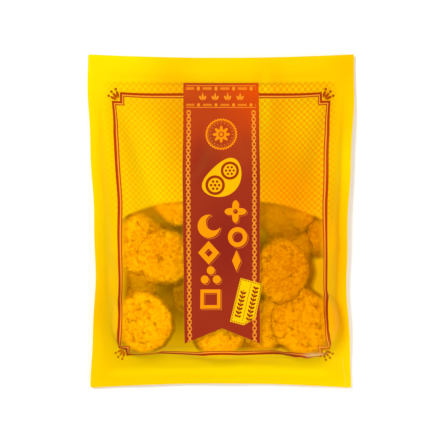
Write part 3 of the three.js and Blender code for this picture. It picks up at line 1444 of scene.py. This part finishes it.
# %% [markdown]
# ## Fried dough
# The crackers are golden, paler in patches and brown in spots where the oil was hottest. Noises
# of five sizes, from the large patches down to the grain, choose between the four colours, and the
# two finest give a bump for the dry crumb. They read the place in space, because a remeshed cracker
# has no map. Dough is matt, so it keeps little gloss.

# %% Cracker material
GOLDEN = (0.86, 0.60, 0.22)
PALE = (0.96, 0.78, 0.36)
TOASTED = (0.70, 0.36, 0.08)
BROWN = (0.30, 0.12, 0.02)


def noise_field(tree, coordinates, scale, detail=2.0):
    noise = tree.nodes.new("ShaderNodeTexNoise")
    noise.inputs["Scale"].default_value = scale
    noise.inputs["Detail"].default_value = detail
    tree.links.new(coordinates, noise.inputs["Vector"])
    return Field(tree, noise.outputs["Fac"])


dough = bpy.data.materials.new("fried dough")
tree = empty_tree(dough)
place = tree.nodes.new("ShaderNodeTexCoord").outputs["Object"]
patches = noise_field(tree, place, scale=80.0)
scorched = noise_field(tree, place, scale=125.0)
blotches = noise_field(tree, place, scale=230.0)
crumb = noise_field(tree, place, scale=430.0)
grain = noise_field(tree, place, scale=800.0, detail=1.0)
rough = blotches * 0.3 + crumb * 0.45 + grain * 0.25
paint = Paint(tree, GOLDEN)
paint.lay(PALE, (rough * 0.8 + patches * 0.2).rise(0.50, 0.58) * 0.9)
paint.lay(TOASTED, (rough * 0.75 + patches * 0.25).rise(0.50, 0.42) * 0.9)
paint.lay(BROWN, rough.rise(0.40, 0.32) * 0.4)
paint.lay(BROWN, (scorched * 0.75 + crumb * 0.25).rise(0.42, 0.35) * 0.6)
surface = tree.nodes.new("ShaderNodeBsdfPrincipled")
surface.inputs["Roughness"].default_value = 0.75
surface.inputs["Specular IOR Level"].default_value = 0.3
tree.links.new(paint.colour, surface.inputs["Base Color"])
bump = tree.nodes.new("ShaderNodeBump")
bump.inputs["Strength"].default_value = 0.5
bump.inputs["Distance"].default_value = 0.0006
tree.links.new((crumb + grain * 0.5).socket, bump.inputs["Height"])
tree.links.new(bump.outputs[0], surface.inputs["Normal"])
output = tree.nodes.new("ShaderNodeOutputMaterial")
tree.links.new(surface.outputs[0], output.inputs["Surface"])
for layer in (upper_crackers, lower_crackers):
    layer.data.materials.append(dough)
print("crackers:", len(tree.nodes), "nodes of fried dough")

# %% [markdown]
# ## The table
# The bag lies on a wide white table that has no gloss, so nothing shows on it but the soft shadow
# round the bag. A plane is enough: it is no piece of the bag, only the place it is shown on.

# %% Table
TABLE_SIZE = 3.0
TABLE_WHITE = 0.92
bpy.ops.object.select_all(action="DESELECT")
bpy.ops.mesh.primitive_plane_add(size=TABLE_SIZE, location=(0, 0, 0))
table = bpy.context.object
table.name = "table"
white = bpy.data.materials.new("white table")
white.use_nodes = True
white_shader = white.node_tree.nodes["Principled BSDF"]
white_shader.inputs["Base Color"].default_value = (TABLE_WHITE, TABLE_WHITE, TABLE_WHITE, 1)
white_shader.inputs["Roughness"].default_value = 0.9
white_shader.inputs["Specular IOR Level"].default_value = 0.0
table.data.materials.append(white)
print("table:", round(table.dimensions.x, 1), "m wide")

# %% [markdown]
# ## The light
# Half of the light is even and comes from the whole white sky, as in a light tent. A high lamp at the
# upper left draws the puckers of the film and a narrow shadow along its right and lower edges, and a
# weaker one, low on the other side, keeps the slopes there yellow. The sky is left out of mirror
# images: seen in satin film it would lay a grey haze over the inks.

# %% Lights
SKY_STRENGTH = 0.5


def soft_light(name, place, size, power):
    bpy.ops.object.light_add(type="AREA", location=place)
    lamp = bpy.context.object
    lamp.name = name
    lamp.data.size = size
    lamp.data.energy = power
    lamp.rotation_euler = (-Vector(place)).to_track_quat("-Z", "Y").to_euler()


soft_light("key", place=(-0.54, 0.47, 1.02), size=0.4, power=11.8)
soft_light("low fill", place=(0.72, -0.55, 0.60), size=0.5, power=6.3)
world = bpy.data.worlds.new("studio")
world.use_nodes = True
sky = world.node_tree.nodes["Background"]
sky.inputs["Color"].default_value = (1, 1, 1, 1)
sky.inputs["Strength"].default_value = SKY_STRENGTH
world.cycles_visibility.glossy = False
bpy.context.scene.world = world
bpy.context.scene.view_settings.view_transform = "Standard"

# %% [markdown]
# ## The camera
# The camera looks straight down, as on a product page. The lens is worked out from how much of the
# table it should see and from how high it hangs: the sensor's width is to the lens as the field is
# to the height.

# %% Camera
FIELD = 0.3315
CAMERA_HEIGHT = 1.5
SENSOR = 36.0
bpy.ops.object.camera_add(location=(0, 0, CAMERA_HEIGHT))
camera = bpy.context.object
camera.data.sensor_width = SENSOR
camera.data.lens = SENSOR * CAMERA_HEIGHT / FIELD
bpy.context.scene.camera = camera
print("the camera sees", FIELD, "m of the table with a lens of", round(camera.data.lens), "mm")

# %% [markdown]
# ## Handing over
# Film and crackers all lie still on one body, the root. The film takes the place of the packed
# solid, which is hidden.

# %% Hand over
for piece in (film, upper_crackers, lower_crackers):
    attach(piece, "root")
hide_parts("bag")
